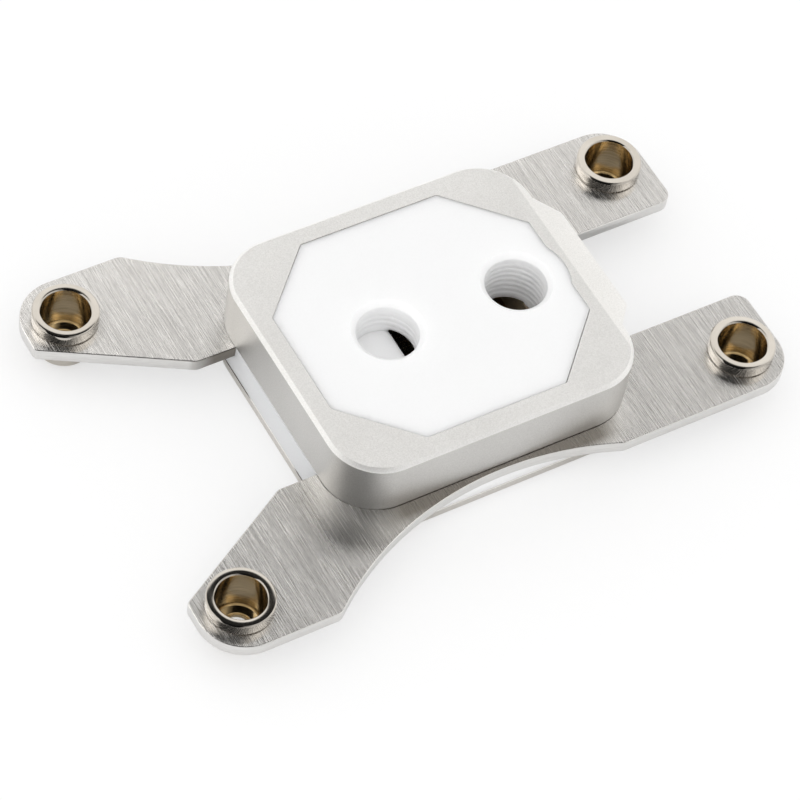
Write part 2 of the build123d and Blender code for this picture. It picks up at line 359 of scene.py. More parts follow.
def revolved(profile, centre, steps=128):
    """A bmesh turned from a closed (radius, height) profile, counter-clockwise in r-z."""
    mesh = bmesh.new()
    rings = []
    for k in range(steps):
        turn = math.tau * k / steps
        ring = []
        for p in profile:
            x = centre.x + p.x * math.cos(turn)
            y = centre.y + p.x * math.sin(turn)
            ring.append(mesh.verts.new((x * MM, y * MM, p.y * MM)))
        rings.append(ring)
    count = len(profile)
    for k in range(steps):
        ring, following = rings[k], rings[(k + 1) % steps]
        for j in range(count):
            after = (j + 1) % count
            quad = [ring[j], following[j], following[after], ring[after]]
            mesh.faces.new(quad).smooth = True
    return mesh


def sharpen(mesh, degrees):
    """Smooth shading, broken at edges that turn by more than degrees."""
    limit = math.radians(degrees)
    for face in mesh.faces:
        face.smooth = True
    for edge in mesh.edges:
        edge.smooth = len(edge.link_faces) == 2 and edge.calc_face_angle(0) < limit


def piece(name, mesh, material, slot=None, replaced=()):
    """Turns a bmesh into an object that rides on the part and stands for CAD nodes.

    Without a slot it is a helper that is joined to, or cut from, a piece.
    """
    data = bpy.data.meshes.new(name)
    mesh.to_mesh(data)
    mesh.free()
    data.materials.append(material)
    made = bpy.data.objects.new(name, data)
    bpy.context.scene.collection.objects.link(made)
    if slot:
        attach(made, "root")
    if replaced:
        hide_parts(*replaced)
    return made


def apply_modifiers(made):
    """Gives the object its shape after the modifiers as a plain mesh, and clears them."""
    bpy.context.view_layer.update()
    graph = bpy.context.evaluated_depsgraph_get()
    data = bpy.data.meshes.new_from_object(made.evaluated_get(graph))
    data.name = made.name
    made.modifiers.clear()
    made.data = data


def settle(made, degrees):
    """Smooth shading broken at sharp edges, led by the large faces so that flats stay flat."""
    mesh = bmesh.new()
    mesh.from_mesh(made.data)
    sharpen(mesh, degrees)
    mesh.to_mesh(made.data)
    mesh.free()
    weighting = made.modifiers.new("normals", "WEIGHTED_NORMAL")
    weighting.keep_sharp = True
    apply_modifiers(made)


def boolean(made, cutters, operation):
    """Joins the cutters to the object's mesh, or cuts them from it, and removes them."""
    for cutter in cutters:
        cut = made.modifiers.new("cut", "BOOLEAN")
        cut.operation = operation
        cut.solver = "EXACT"
        cut.object = cutter
    apply_modifiers(made)
    for cutter in cutters:
        bpy.data.objects.remove(cutter)


# ---------------------------------------------------------------- wiring of nodes
class Wiring:
    """Short ways to add nodes to a tree and to join them."""

    def __init__(self, tree):
        self.tree = tree

    def node(self, kind, **values):
        """A new node with the given settings."""
        made = self.tree.nodes.new(kind)
        for key, value in values.items():
            setattr(made, key, value)
        return made

    def link(self, output, socket):
        """Joins an output to a socket."""
        self.tree.links.new(output, socket)

    def feed(self, value, socket):
        """Gives a socket a fixed number, a fixed colour or another node's output."""
        if isinstance(value, (int, float)):
            socket.default_value = value
        elif isinstance(value, tuple):
            socket.default_value = (*value, 1)
        else:
            self.link(value, socket)

    def math(self, operation, first, second):
        """The result of an operation on two numbers, each fixed or wired."""
        made = self.node("ShaderNodeMath", operation=operation)
        self.feed(first, made.inputs[0])
        self.feed(second, made.inputs[1])
        return made.outputs[0]

    def ranged(self, value, low, high, to_low, to_high, **values):
        """The value carried from one range to another."""
        made = self.node("ShaderNodeMapRange", **values)
        made.inputs["From Min"].default_value = low
        made.inputs["From Max"].default_value = high
        made.inputs["To Min"].default_value = to_low
        made.inputs["To Max"].default_value = to_high
        self.link(value, made.inputs["Value"])
        return made.outputs["Result"]

    def between(self, factor, first, second):
        """The first shader at 0, the second at 1."""
        made = self.node("ShaderNodeMixShader")
        self.link(factor, made.inputs["Fac"])
        self.link(first, made.inputs[1])
        self.link(second, made.inputs[2])
        return made.outputs[0]


# ---------------------------------------------------------------- materials
# Nearly all of a noise pattern lies between these
NOISE_LOW = 0.3
NOISE_HIGH = 0.7


class Finish(Wiring):
    """A Principled material, with patterns on Object coordinates."""

    def __init__(self, name, colour, **sockets):
        """Sockets take the shader's own names, with underscores for spaces."""
        self.material = bpy.data.materials.new(name)
        self.material.use_nodes = True
        super().__init__(self.material.node_tree)
        self.shader = self.tree.nodes["Principled BSDF"]
        self.place = self.node("ShaderNodeTexCoord").outputs["Object"]
        self.shader.inputs["Base Color"].default_value = (*colour, 1)
        for socket, value in sockets.items():
            self.shader.inputs[socket.replace("_", " ")].default_value = value

    def noise(self, scale, detail=2.0, roughness=0.5):
        """Noise on Object coordinates; scale is cells per millimetre along X, Y and Z."""
        mapping = self.node("ShaderNodeMapping")
        mapping.inputs["Scale"].default_value = [s / MM for s in scale]
        self.link(self.place, mapping.inputs["Vector"])
        pattern = self.node("ShaderNodeTexNoise")
        pattern.inputs["Scale"].default_value = 1.0
        pattern.inputs["Detail"].default_value = detail
        pattern.inputs["Roughness"].default_value = roughness
        self.link(mapping.outputs["Vector"], pattern.inputs["Vector"])
        return pattern.outputs["Fac"]

    def weighted(self, first, second, share):
        """Two patterns added; share is the first one's."""
        main = self.math("MULTIPLY", first, share)
        return self.math("ADD", main, self.math("MULTIPLY", second, 1 - share))

    def mix(self, factor, first, second):
        """A colour between two, each fixed or wired."""
        made = self.node("ShaderNodeMix", data_type="RGBA")
        under, over = [s for s in made.inputs if s.type == "RGBA"]
        self.feed(first, under)
        self.feed(second, over)
        self.link(factor, made.inputs["Factor"])
        return next(s for s in made.outputs if s.type == "RGBA")

    def toned(self, pattern, dark, light, low=NOISE_LOW, high=NOISE_HIGH):
        """A colour that follows a pattern from dark to light."""
        return self.mix(self.ranged(pattern, low, high, 0, 1), dark, light)

    def along(self, axis):
        """The place along an axis, in metres."""
        split = self.node("ShaderNodeSeparateXYZ")
        self.link(self.place, split.inputs[0])
        return split.outputs[axis]

    def away(self, axis):
        """The distance from the middle along an axis, in metres."""
        return self.math("ABSOLUTE", self.along(axis), 0)

    def band(self, axis, reach, fade):
        """1 up to a distance from the middle along an axis, then falling to 0."""
        return self.ranged(self.away(axis), reach * MM, (reach + fade) * MM, 1, 0)

    def colour(self, output):
        """Wires the base colour."""
        self.link(output, self.shader.inputs["Base Color"])

    def roughness(self, pattern, smooth, rough):
        """Roughness that follows a pattern."""
        made = self.ranged(pattern, NOISE_LOW, NOISE_HIGH, smooth, rough)
        self.link(made, self.shader.inputs["Roughness"])

    def bump(self, height, depth, edge=0.0):
        """Bump of a depth in millimetres; edge rounds the shading of sharp edges."""
        made = self.node("ShaderNodeBump")
        made.inputs["Distance"].default_value = depth * MM
        self.link(height, made.inputs["Height"])
        if edge:
            bevel = self.node("ShaderNodeBevel", samples=4)
            bevel.inputs["Radius"].default_value = edge * MM
            self.link(bevel.outputs["Normal"], made.inputs["Normal"])
        self.link(made.outputs["Normal"], self.shader.inputs["Normal"])

    def drawn_along(self, uv_map):
        """Reflections smear along the U of a UV map."""
        tangent = self.node("ShaderNodeTangent", direction_type="UV_MAP", uv_map=uv_map)
        self.link(tangent.outputs["Tangent"], self.shader.inputs["Tangent"])


def casing_finish(name, dark, light, smooth, rough):
    """Bead-blasted aluminium: even satin with a very fine grain.  The tops are rougher than
    the walls, and paler: the walls are given a darker colour as painted shade."""
    made = Finish(name, light, Metallic=1.0)
    grain = made.noise((3.6, 3.6, 3.6), 4.0, 0.75)
    cloud = made.noise((0.05, 0.05, 0.05))
    made.colour(made.toned(made.weighted(grain, cloud, 0.75), dark, light, 0.35, 0.65))
    made.roughness(grain, smooth, rough)
    made.bump(grain, 0.05)
    return made.material


def bracket_finish():
    """Stainless steel brushed along Y, in fine and some coarser streaks, with painted shade
    beside the casing's long sides, where the sheet runs under the casing."""
    made = Finish("bracket_brushed", (0.6, 0.59, 0.575), Metallic=1.0, Anisotropic=0.7)
    fine = made.noise((6.5, 0.1, 1.0), 2.0, 0.6)
    coarse = made.noise((2.4, 0.05, 0.5), 2.0, 0.6)
    streaks = made.weighted(fine, coarse, 0.85)
    steel = made.toned(streaks, (0.625, 0.614, 0.6), (0.8, 0.79, 0.776), 0.38, 0.62)
    # Painted shade: a dark brown band beside the casing's long sides, where the sheet runs
    # under the casing
    painted_shade_y = made.band("Y", reach=body_width / 2 + 2.2, fade=2.0)
    painted_shade_x = made.band("X", reach=20.0, fade=5.0)
    painted_shade = made.math("MULTIPLY", made.math("MULTIPLY", painted_shade_y, painted_shade_x), 0.75)
    made.colour(made.mix(painted_shade, steel, (0.2, 0.175, 0.145)))
    made.roughness(fine, 0.18, 0.31)
    made.bump(streaks, 0.06)
    made.drawn_along("grain")
    return made.material


def cut_edge_finish():
    """The bracket's cut edge: smoother, with faint lines along the sheet and painted shade
    where the gaps between the arms meet the body."""
    made = Finish("bracket_edge", (0.74, 0.73, 0.71), Metallic=1.0)
    lines = made.noise((0.3, 0.3, 6.0), 2.0, 0.6)
    steel = made.toned(lines, (0.66, 0.65, 0.635), (0.76, 0.75, 0.735))
    # Painted shade: the edge darkened where the gaps between the arms meet the body
    painted_shade_x = made.band("X", reach=wide_gap_depth - 3.5, fade=6.0)
    painted_shade_y = made.band("Y", reach=15.5, fade=0.4)
    painted_shade = made.math("MULTIPLY", made.math("MULTIPLY", painted_shade_x, painted_shade_y), 0.95)
    made.colour(made.mix(painted_shade, steel, (0.16, 0.145, 0.125)))
    made.roughness(lines, 0.3, 0.4)
    made.bump(lines, 0.006)
    return made.material


def acetal_finish(name, dark, light):
    """Machined acetal: slightly waxy, with a faint grain."""
    made = Finish(name, light, Roughness=0.42, Subsurface_Weight=1.0, Subsurface_Scale=1.0)
    made.shader.inputs["Subsurface Radius"].default_value = (2.0 * MM, 2.0 * MM, 2.0 * MM)
    grain = made.noise((3.0, 3.0, 3.0), 3.0, 0.6)
    made.colour(made.toned(grain, dark, light))
    made.roughness(grain, 0.38, 0.48)
    made.bump(grain, 0.006, edge=0.1)
    return made.material


def chamber_finish():
    """The insert's underside over the pins, painted dark brown as shade."""
    made = Finish("insert_chamber", (0.26, 0.2, 0.135), Roughness=0.4)
    stain = made.noise((0.4, 0.4, 0.4), 3.0, 0.6)
    made.colour(made.toned(stain, (0.2, 0.15, 0.1), (0.32, 0.25, 0.17)))
    made.roughness(stain, 0.3, 0.45)
    return made.material


def turned_finish(name, dark, light, smooth, rough, depth, drawn=0.0):
    """Nickel on brass, with the lathe's rings along the height; drawn smears reflections
    along the height, as fine rings do."""
    made = Finish(name, light, Metallic=1.0, Anisotropic=drawn)
    rings = made.noise((0.05, 0.05, 4.5), 3.0, 0.7)
    stain = made.noise((0.35, 0.35, 0.35))
    made.colour(made.toned(made.weighted(rings, stain, 0.8), dark, light, 0.35, 0.65))
    made.roughness(rings, smooth, rough)
    made.bump(rings, depth)
    made.drawn_along("turned")
    return made.material


def plate_finish():
    """Nickel-plated copper, finely lapped; bare darkened copper inside the chamber."""
    made = Finish("plate_nickel", (0.74, 0.7, 0.64), Metallic=1.0)
    lapping = made.noise((2.0, 2.0, 2.0), 3.0, 0.6)
    nickel = made.toned(lapping, (0.68, 0.655, 0.62), (0.76, 0.735, 0.7))
    copper = made.toned(lapping, (0.6, 0.47, 0.32), (0.8, 0.64, 0.46))
    within_x = made.math("LESS_THAN", made.away("X"), chamber_length / 2 * MM)
    within_y = made.math("LESS_THAN", made.away("Y"), chamber_width / 2 * MM)
    above = made.math("GREATER_THAN", made.along("Z"), (plate_top - level_slack) * MM)
    inside = made.math("MULTIPLY", made.math("MULTIPLY", within_x, within_y), above)
    made.colour(made.mix(inside, nickel, copper))
    made.roughness(lapping, 0.16, 0.26)
    made.bump(lapping, 0.004)
    return made.material


def plate_edge_finish():
    """The plate's softened upper edge, polished, and paler than the plate's nickel as a painted
    highlight; painted shade darkens it towards the corners of its -X side.
    """
    made = Finish("plate_edge", (0.95, 0.93, 0.9), Metallic=1.0)
    wear = made.noise((0.6, 0.6, 0.6))
    # Painted highlight: the edge's nickel is paler than the plate's
    bright = made.toned(wear, (0.9, 0.88, 0.85), (0.98, 0.965, 0.94))
    # Painted shade: darker on the -X side, towards the corners
    side = made.math("LESS_THAN", made.along("X"), -painted_shade_side_share * body_length * MM)
    ends = made.ranged(made.away("Y"), painted_shade_start * MM, painted_shade_full * MM, 0, 1)
    painted_edge_shade = made.math("MULTIPLY", side, ends)
    made.colour(made.mix(painted_edge_shade, bright, (0.08, 0.068, 0.05)))
    made.roughness(wear, 0.12, 0.2)
    return made.material


def pin_finish():
    """Bare copper pins, darkened."""
    made = Finish("pin_copper", (0.3, 0.17, 0.1), Metallic=1.0)
    stain = made.noise((1.2, 1.2, 1.2))
    made.colour(made.toned(stain, (0.36, 0.24, 0.16), (0.62, 0.43, 0.29)))
    made.roughness(stain, 0.35, 0.5)
    return made.material


def screw_finish():
    """Stainless screws, fine turning marks."""
    made = Finish("screw_steel", (0.55, 0.54, 0.52), Metallic=1.0)
    marks = made.noise((6.0, 6.0, 14.0))
    made.colour(made.toned(marks, (0.48, 0.47, 0.45), (0.6, 0.59, 0.57)))
    made.roughness(marks, 0.26, 0.38)
    made.bump(marks, 0.006)
    return made.material


def seal_finish():
    """Black rubber with a dull, uneven skin."""
    made = Finish("seal_rubber", (0.02, 0.02, 0.02))
    skin = made.noise((3.0, 3.0, 3.0), 3.0)
    made.colour(made.toned(skin, (0.014, 0.014, 0.014), (0.032, 0.032, 0.032)))
    made.roughness(skin, 0.5, 0.68)
    made.bump(skin, 0.01)
    return made.material


# ---------------------------------------------------------------- bracket
def bracket_outline():
    """Half the outline from the +X notch round to the -X notch, then the same mirrored."""
    narrow_end = narrow_hole.x + narrow_end_margin
    wide_end = wide_hole.x - wide_end_margin
    narrow_edge = narrow_hole.y + arm_margin
    wide_edge = wide_hole.y + arm_margin
    middle_y = waist_low_y + waist_radius
    start = math.asin((narrow_edge - middle_y) / waist_radius)
    end = -math.pi - math.asin((wide_edge - middle_y) / waist_radius)
    room = waist_end_room / waist_radius
    flank = arc((0, middle_y), waist_radius, start - room, end + room, 60)
    narrow_flank = math.sqrt(waist_radius**2 - (middle_y - narrow_edge) ** 2)
    wide_flank = -math.sqrt(waist_radius**2 - (middle_y - wide_edge) ** 2)
    spread_y = wide_gap / 2 + (-wide_gap_depth - wide_end) * math.tan(arm_spread)
    half = [
        (narrow_notch, narrow_gap / 2, 0),
        (narrow_end, narrow_gap / 2, narrow_inner_corner),
        (narrow_end, narrow_edge, narrow_corner),
        (narrow_flank, narrow_edge, flank_corner),
    ]
    half += [(p.x, p.y, 0) for p in flank]
    half += [
        (wide_flank, wide_edge, flank_corner),
        (wide_end, wide_edge, wide_corner),
        (wide_end, spread_y, wide_inner_corner),
        (-wide_gap_depth, wide_gap / 2, gap_corner),
        (-wide_notch, wide_gap / 2, 0),
    ]
    mirrored = [(x, -y, radius) for x, y, radius in reversed(half)]
    return rounded(half + mirrored)


def make_bracket(face_steel, edge_steel):
    """The sheet with its window and four holes; the grain map lies flat on it."""
    levels = rim(bracket_edge_round, bracket_low.z, True)
    levels += rim(bracket_edge_round, bracket_high.z, False)
    straight = [(0, bracket_low.z), (0, bracket_high.z)]
    sides = (-1, 1)
    places = [Vector((h.x, side * h.y)) for h in (wide_hole, narrow_hole) for side in sides]
    holes = [(circle(place, tube_radius + hole_clearance), straight) for place in places]
    mesh = slab(bracket_outline(), levels, holes + [(window(0), straight)])
    grain = mesh.loops.layers.uv.new("grain")
    for face in mesh.faces:
        face.normal_update()
        face.material_index = int(abs(face.normal.z) < sheet_edge_slope)
        for loop in face.loops:
            loop[grain].uv = (loop.vert.co.x * grain_scale, loop.vert.co.y * grain_scale)
    made = piece("bracket", mesh, face_steel, "bracket", ["mounting_bracket"])
    made.data.materials.append(edge_steel)


# ---------------------------------------------------------------- casing
def cut_slope(mesh):
    """Cuts the casing's top along the slope that falls towards the tab, and closes it."""
    normal = Vector((math.sin(slope_angle), 0, math.cos(slope_angle)))
    point = Vector((slope_start, 0, top_z)) * MM
    cut = bmesh.ops.bisect_plane(
        mesh,
        geom=mesh.verts[:] + mesh.edges[:] + mesh.faces[:],
        dist=1e-7,
        plane_co=point,
        plane_no=normal,
        clear_outer=True,
    )
    edges = [e for e in cut["geom_cut"] if isinstance(e, bmesh.types.BMEdge) and e.is_boundary]
    bmesh.ops.contextual_create(mesh, geom=edges)


def make_casing(material, wall_material_painted_shade):
    """The hollow casing with its tab, both cut along the same slope."""
    foot = top_z - casing_chamfer
    levels = [(inset, seat_z + rise) for inset, rise in groove_steps]
    levels += [(inset, foot + rise) for inset, rise in chamfer_foot_steps]
    levels += [(casing_chamfer, top_z), (casing_chamfer + chamfer_border, top_z)]
    window_levels = [(0, seat_z)] + rim(window_round, top_z, False, 2)
    hole = (window(window_gap, window_slack), window_levels)
    mesh = slab(rectangle(body_length, body_width, body_corner), levels, [hole])
    cut_slope(mesh)
    casing = piece("casing_body", mesh, material, "casing", ["casing"])

    edge_z = top_z - (tab_reach - slope_start) * math.tan(slope_angle)
    root_x = slope_start + tab_overlap
    half = body_length / 2
    corners = [
        (root_x, -tab_root_width / 2, 0),
        (half, -tab_root_width / 2, 0),
        (tab_reach, -tab_edge_width / 2, tab_fillet),
        (tab_reach, tab_edge_width / 2, tab_fillet),
        (half, tab_root_width / 2, 0),
        (root_x, tab_root_width / 2, 0),
    ]
    tab_mesh = slab(rounded(corners), [(0, edge_z - tab_thickness), (0, top_z)])
    cut_slope(tab_mesh)
    tab = piece("tab", tab_mesh, material)
    boolean(casing, [tab], "UNION")
    settle(casing, casing_sharp)
    # Painted shade: the walls take a darker copy of the aluminium than the tops
    casing.data.materials.append(wall_material_painted_shade)
    for face in casing.data.polygons:
        face.material_index = int(abs(face.normal.z) < casing_wall_slope)


# ---------------------------------------------------------------- port insert
def thread_cutter(material, place_x, low, high):
    """A closed helical plug whose ridges cut the port's thread grooves.  The ridges fade
    out towards both ends, slowly at the top."""
    steps, per_pitch = 96, 12
    rows = int((high - low) / thread_pitch * per_pitch)
    mesh = bmesh.new()
    rings = []
    for row in range(rows + 1):
        z = low + (high - low) * row / rows
        fade = min(1.0, (z - low) / thread_pitch, (high - z) / thread_runout)
        ring = []
        for k in range(steps):
            turn = math.tau * k / steps
            share = (z / thread_pitch - k / steps) % 1.0
            ridge = 0.5 - 0.5 * math.cos(math.tau * share)
            swell = (thread_depth + plug_clearance) * ridge * fade
            radius = port_radius - plug_clearance + swell
            x, y = place_x + radius * math.cos(turn), radius * math.sin(turn)
            ring.append(mesh.verts.new((x * MM, y * MM, z * MM)))
        rings.append(ring)
    for lower, upper in zip(rings, rings[1:]):
        for k in range(steps):
            after = (k + 1) % steps
            mesh.faces.new([lower[k], lower[after], upper[after], upper[k]])
    mesh.faces.new(rings[0][::-1])
    mesh.faces.new(rings[-1])
    return piece("thread", mesh, material)


def make_insert(material, shaded_chamber_material, shaded_skirt_material):
    """The CAD insert's own form, with threads cut into its two ports.

    Its underside over the pins is painted dark as shade, and its flange and ear below the
    casing are a greyer copy of the acetal as painted shade.
    """
    mesh = bmesh.new()
    mesh.from_mesh(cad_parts["port_insert"].data)
    bmesh.ops.remove_doubles(mesh, verts=mesh.verts, dist=1e-6)
    insert = piece("insert", mesh, material, "insert", ["port_insert"])
    high = top_z - thread_top_gap
    cutters = [
        thread_cutter(material, place_x, top_z - depth + thread_floor_gap, high)
        for place_x, depth in ((inlet_x, inlet_depth), (outlet_x, outlet_depth))
    ]
    boolean(insert, cutters, "DIFFERENCE")
    settle(insert, insert_sharp)
    insert.data.materials.append(shaded_chamber_material)
    insert.data.materials.append(shaded_skirt_material)
    chamber_x = chamber_length / 2 + chamber_end_room
    chamber_y = chamber_width / 2 + chamber_slack
    chamber_roof = top_z - outlet_depth + chamber_slack
    for face in insert.data.polygons:
        middle = face.center / MM
        inside = abs(middle.x) < chamber_x and abs(middle.y) < chamber_y
        reach = max(abs(insert.data.vertices[i].co.x) for i in face.vertices) / MM
        # Painted shade: the underside over the pins takes the dark chamber finish, the flange
        # and ear below the casing the greyer copy of the acetal
        if inside and plate_top + level_slack < middle.z < chamber_roof:
            face.material_index = 1
        elif reach > flange_share * body_length and middle.z < seat_z + level_slack:
            face.material_index = 2


# ---------------------------------------------------------------- cold plate
def make_plate(material, edge_material):
    """The plate with its countersunk screw holes; its upper edge has its own finish, with a
    painted highlight and painted shade.
    """
    levels = rim(plate_foot_round, plate_low.z, True)
    levels += [(inset, plate_top - depth) for inset, depth in plate_edge_steps]
    mirrors = [(sx, sy) for sx in (-1, 1) for sy in (-1, 1)]
    screws = [(casing_screw_place, casing_screw_hole)]
    screws += [(place, plate_screw_hole) for place in plate_screw_places]
    holes = []
    for place, (shank, head) in screws:
        cone = [(head - shank, plate_low.z), (0, plate_low.z + head - shank), (0, plate_top)]
        holes += [(circle((sx * place.x, sy * place.y), shank, 48), cone) for sx, sy in mirrors]
    mesh = slab(rectangle(body_length, body_width, body_corner), levels, holes)
    plate = piece("plate", mesh, material, "plate", ["cold_plate"])
    settle(plate, plate_sharp)
    plate.data.materials.append(edge_material)
    for face in plate.data.polygons:
        middle = face.center / MM
        upper = middle.z > plate_top - edge_band and 0.1 < face.normal.z < 0.98
        side_x = abs(middle.x) > outer_share * body_length
        side_y = abs(middle.y) > outer_share * body_width
        corner = Vector(middle[:2]).length > corner_reach
        face.material_index = int(upper and (side_x or side_y or corner))


def pin_field_tree():
    """Geometry nodes: pins stand on a grid, one on each crossing."""
    tree = bpy.data.node_groups.new("pin_field", "GeometryNodeTree")
    face = tree.interface
    face.new_socket("Geometry", in_out="OUTPUT", socket_type="NodeSocketGeometry")
    for name in ("Field Length", "Field Width", "Pin Width", "Pin Height", "Base Height"):
        face.new_socket(name, in_out="INPUT", socket_type="NodeSocketFloat")
    for name in ("Pins Along", "Pins Across"):
        face.new_socket(name, in_out="INPUT", socket_type="NodeSocketInt")
    face.new_socket("Material", in_out="INPUT", socket_type="NodeSocketMaterial")
    new, link = tree.nodes.new, tree.links.new
    given = new("NodeGroupInput").outputs
    result = new("NodeGroupOutput").inputs[0]

    grid = new("GeometryNodeMeshGrid")
    link(given["Field Length"], grid.inputs["Size X"])
    link(given["Field Width"], grid.inputs["Size Y"])
    link(given["Pins Along"], grid.inputs["Vertices X"])
    link(given["Pins Across"], grid.inputs["Vertices Y"])

    half = new("ShaderNodeMath")
    half.operation = "DIVIDE"
    half.inputs[1].default_value = 2
    link(given["Pin Height"], half.inputs[0])
    middle = new("ShaderNodeMath")
    link(half.outputs[0], middle.inputs[0])
    link(given["Base Height"], middle.inputs[1])
    lift = new("ShaderNodeCombineXYZ")
    link(middle.outputs[0], lift.inputs["Z"])

    section = new("ShaderNodeCombineXYZ")
    link(given["Pin Width"], section.inputs["X"])
    link(given["Pin Width"], section.inputs["Y"])
    link(given["Pin Height"], section.inputs["Z"])
    pin = new("GeometryNodeMeshCube")
    link(section.outputs[0], pin.inputs["Size"])
    raised = new("GeometryNodeTransform")
    link(pin.outputs["Mesh"], raised.inputs["Geometry"])
    link(lift.outputs[0], raised.inputs["Translation"])

    spread = new("GeometryNodeInstanceOnPoints")
    link(grid.outputs["Mesh"], spread.inputs["Points"])
    link(raised.outputs["Geometry"], spread.inputs["Instance"])
    solid = new("GeometryNodeRealizeInstances")
    link(spread.outputs["Instances"], solid.inputs["Geometry"])
    finish = new("GeometryNodeSetMaterial")
    link(solid.outputs["Geometry"], finish.inputs["Geometry"])
    link(given["Material"], finish.inputs["Material"])
    link(finish.outputs["Geometry"], result)
    return tree


def grown(name, tree, values):
    """An object made by a geometry node tree, turned into a plain mesh."""
    made = bpy.data.objects.new(name, bpy.data.meshes.new(name))
    bpy.context.scene.collection.objects.link(made)
    growth = made.modifiers.new(name, "NODES")
    growth.node_group = tree
    sockets = {s.name: s.identifier for s in tree.interface.items_tree if s.in_out == "INPUT"}
    for key, value in values.items():
        growth[sockets[key]] = value
    apply_modifiers(made)
    return made


def make_pins(material):
    """The pin field, rooted a little in the plate."""
    along = int(field_length / pin_pitch)
    across = int(field_width / pin_pitch)
    values = {
        "Field Length": (along - 1) * pin_pitch * MM,
        "Field Width": (across - 1) * pin_pitch * MM,
        "Pin Width": pin_width * MM,
        "Pin Height": (plate_high.z - plate_top + pin_root) * MM,
        "Base Height": (plate_top - pin_root) * MM,
        "Pins Along": along,
        "Pins Across": across,
        "Material": material,
    }
    pins = grown("pins", pin_field_tree(), values)
    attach(pins, "root")


# ---------------------------------------------------------------- bushings
def bushing_profile():
    """(radius, height) corners with their softening, counter-clockwise in r-z: up the
    outside, over the collar, down the bore and round its floor."""
    tube_end = seat_z - bushing_drop
    collar_foot = seat_z + collar_lift
    groove_radius = collar_radius - collar_groove
    collar_top = seat_z + collar_height
    floor_z = tube_end + floor_thickness
    corners = [
        (floor_hole, tube_end, middle_round),
        (tube_radius - tube_chamfer, tube_end, large_round),
        (tube_radius, tube_end + tube_chamfer, large_round),
        (tube_radius, collar_foot, 0),
        (groove_radius, collar_foot, 0),
        (groove_radius, seat_z + collar_groove_low, small_round),
        (collar_radius, seat_z + collar_groove_high, middle_round),
        (collar_radius, collar_top - collar_chamfer, small_round),
        (collar_radius - collar_chamfer, collar_top, small_round),
        (bushing_bore + bore_chamfer, collar_top, small_round),
        (bushing_bore, collar_top - bore_chamfer, small_round),
        (bushing_bore, floor_z + floor_chamfer, large_round),
        (bushing_bore - floor_chamfer, floor_z, large_round),
        (floor_hole + floor_chamfer, floor_z, middle_round),
        (floor_hole, floor_z - floor_chamfer, middle_round),
    ]
    return rounded(corners, segment=0.04)


def corner_turn(loop, place):
    """Angle of a face's corner round the bushing's middle."""
    x, y = loop.vert.co.x / MM - place.x, loop.vert.co.y / MM - place.y
    return math.atan2(y, x)


def make_bushings(outside, inside):
    """Four turned bushings; the bore and the floor have their own finish."""
    places = {
        "wide_front": Vector((wide_hole.x, -wide_hole.y)),
        "wide_rear": wide_hole,
        "narrow_front": Vector((narrow_hole.x, -narrow_hole.y)),
        "narrow_rear": narrow_hole,
    }
    profile = bushing_profile()
    bore_reach = bushing_bore + bore_slack
    bore_top = seat_z + collar_height - bore_lip
    for name, place in places.items():
        mesh = revolved(profile, place)
        turned = mesh.loops.layers.uv.new("turned")
        for face in mesh.faces:
            start = min(corner_turn(loop, place) for loop in face.loops)
            for loop in face.loops:
                turn = (corner_turn(loop, place) - start) % math.pi
                loop[turned].uv = (loop.vert.co.z * turned_scale, turn)
            centre = face.calc_center_median() / MM
            reach = (Vector(centre[:2]) - place).length
            face.material_index = int(reach < bore_reach and centre.z < bore_top)
        made = piece("turned_" + name, mesh, outside, "bushing", ["bushing_" + name])
        made.data.materials.append(inside)
        settle(made, bushing_sharp)


# ---------------------------------------------------------------- build the part
make_bracket(bracket_finish(), cut_edge_finish())
make_casing(
    casing_finish("casing_top", (0.83, 0.825, 0.81), (0.99, 0.985, 0.975), 0.46, 0.58),
    # The walls are a darker copy of the tops' aluminium: painted shade
    casing_finish("casing_wall", (0.55, 0.54, 0.52), (0.69, 0.68, 0.66), 0.38, 0.46),
)
make_insert(
    acetal_finish("insert_acetal", (0.972, 0.972, 0.974), (0.99, 0.99, 0.992)),
    # Painted shade: the insert's underside over the pins is painted dark brown
    chamber_finish(),
    # Painted shade: the flange and ear below the casing are a greyer copy of the acetal
    acetal_finish("insert_skirt", (0.69, 0.695, 0.705), (0.73, 0.735, 0.745)),
)
make_plate(plate_finish(), plate_edge_finish())
make_pins(pin_finish())
nickel_tones = ((0.545, 0.51, 0.46), (0.655, 0.62, 0.57))
bore_tones = ((0.43, 0.35, 0.23), (0.77, 0.665, 0.485))
make_bushings(
    turned_finish("bushing_nickel", *nickel_tones, 0.05, 0.09, 0.0015),
    turned_finish("bushing_bore", *bore_tones, 0.11, 0.18, 0.012, drawn=0.85),
)
screw_steel = screw_finish()
seal_rubber = seal_finish()
for name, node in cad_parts.items():
    if "screw" in name or name == "main_seal":
        node.data.materials.clear()
        node.data.materials.append(screw_steel if "screw" in name else seal_rubber)


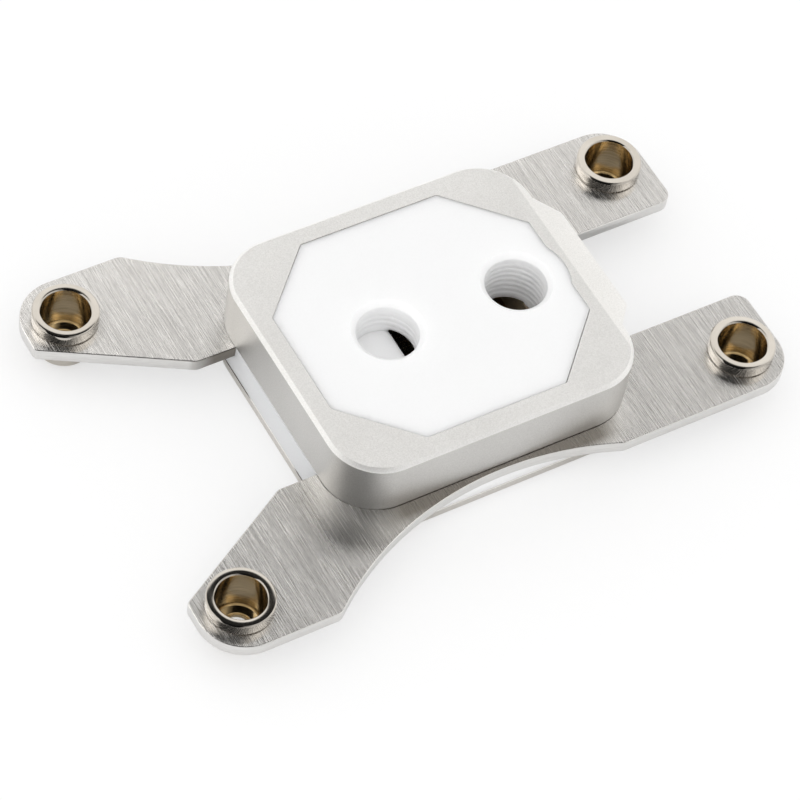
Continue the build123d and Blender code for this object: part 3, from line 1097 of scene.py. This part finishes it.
# ---------------------------------------------------------------- floor, light, camera
def make_floor():
    """A white sheet; its glow is the pale background, and it keeps the shadow."""
    bpy.ops.mesh.primitive_plane_add(size=floor_size, location=(0, 0, -floor_drop))
    floor = bpy.context.object
    floor.name = "floor"
    paper = bpy.data.materials.new("floor_paper")
    paper.use_nodes = True
    paper.node_tree.nodes.clear()
    tree = Wiring(paper.node_tree)
    matte = tree.node("ShaderNodeBsdfDiffuse")
    matte.inputs["Color"].default_value = (0.98, 0.98, 0.98, 1)
    glow = tree.node("ShaderNodeEmission")
    glow.inputs["Color"].default_value = (1, 1, 1, 1)
    seen = tree.node("ShaderNodeLightPath").outputs["Is Camera Ray"]
    share = tree.math("MULTIPLY", seen, floor_glow)
    surface = tree.between(share, matte.outputs[0], glow.outputs[0])
    tree.link(surface, tree.node("ShaderNodeOutputMaterial").inputs["Surface"])
    floor.data.materials.append(paper)


def direction(azimuth, elevation):
    """Unit vector; azimuth in degrees from +X towards +Y."""
    a, e = math.radians(azimuth), math.radians(elevation)
    return Vector((math.cos(a) * math.cos(e), math.sin(a) * math.cos(e), math.sin(e)))


def make_world():
    """A white tent under a dark ceiling.  Metal mirrors the tent with its patches; all
    else is lit by an even white, a little brighter from the camera's side."""
    world = bpy.data.worlds.new("light_tent")
    world.use_nodes = True
    bpy.context.scene.world = world
    world.node_tree.nodes.clear()
    tree = Wiring(world.node_tree)
    sight = tree.node("ShaderNodeTexCoord").outputs["Generated"]

    def facing(azimuth, elevation):
        """Cosine of the angle between the line of sight and a direction."""
        made = tree.node("ShaderNodeVectorMath", operation="DOT_PRODUCT")
        made.inputs[1].default_value = direction(azimuth, elevation)
        tree.link(sight, made.inputs[0])
        return made.outputs["Value"]

    def light(colour, strength):
        """A light of one colour, whose strength is fixed or wired."""
        made = tree.node("ShaderNodeBackground")
        made.inputs["Color"].default_value = (*colour, 1)
        tree.feed(strength, made.inputs["Strength"])
        return made.outputs[0]

    level = 1.0
    for azimuth, elevation, inner, outer, gain in tent_patches:
        near, far = math.cos(math.radians(inner)), math.cos(math.radians(outer))
        towards = facing(azimuth, elevation)
        patch = tree.ranged(towards, far, near, 0, 1, interpolation_type="SMOOTHSTEP")
        change = tree.math("ADD", 1.0, tree.math("MULTIPLY", patch, gain))
        level = tree.math("MULTIPLY", level, change)

    slope = tree.ranged(facing(*even_from), -1.0, 1.0, even_least, even_most)
    even = light((1, 1, 1), slope)
    walls = light((1.0, 0.985, 0.96), level)
    white = light((1, 1, 1), 1.0)
    path = tree.node("ShaderNodeLightPath").outputs
    lit = tree.between(path["Is Glossy Ray"], even, walls)
    seen = tree.between(path["Is Camera Ray"], lit, white)
    tree.link(seen, tree.node("ShaderNodeOutputWorld").inputs["Surface"])


def make_camera():
    """A long lens from the front left, above; slightly rolled."""
    azimuth, elevation, roll = (math.radians(angle) for angle in camera_turn)
    back = Vector(
        (
            math.sin(azimuth) * math.cos(elevation),
            -math.cos(azimuth) * math.cos(elevation),
            math.sin(elevation),
        )
    )
    right = Vector((math.cos(azimuth), math.sin(azimuth), 0))
    up = back.cross(right)
    rolled_right = right * math.cos(roll) + up * math.sin(roll)
    rolled_up = up * math.cos(roll) - right * math.sin(roll)
    lens = bpy.data.cameras.new("camera")
    lens.sensor_width = 36.0
    lens.lens = lens_length
    lens.clip_start = 0.01
    lens.clip_end = 20.0
    camera = bpy.data.objects.new("camera", lens)
    bpy.context.scene.collection.objects.link(camera)
    turned = Matrix((rolled_right, rolled_up, back)).transposed().to_4x4()
    camera.matrix_world = Matrix.Translation(Vector(camera_place) * MM) @ turned
    bpy.context.scene.camera = camera


make_floor()
make_world()
make_camera()
bpy.context.scene.view_settings.view_transform = "Standard"
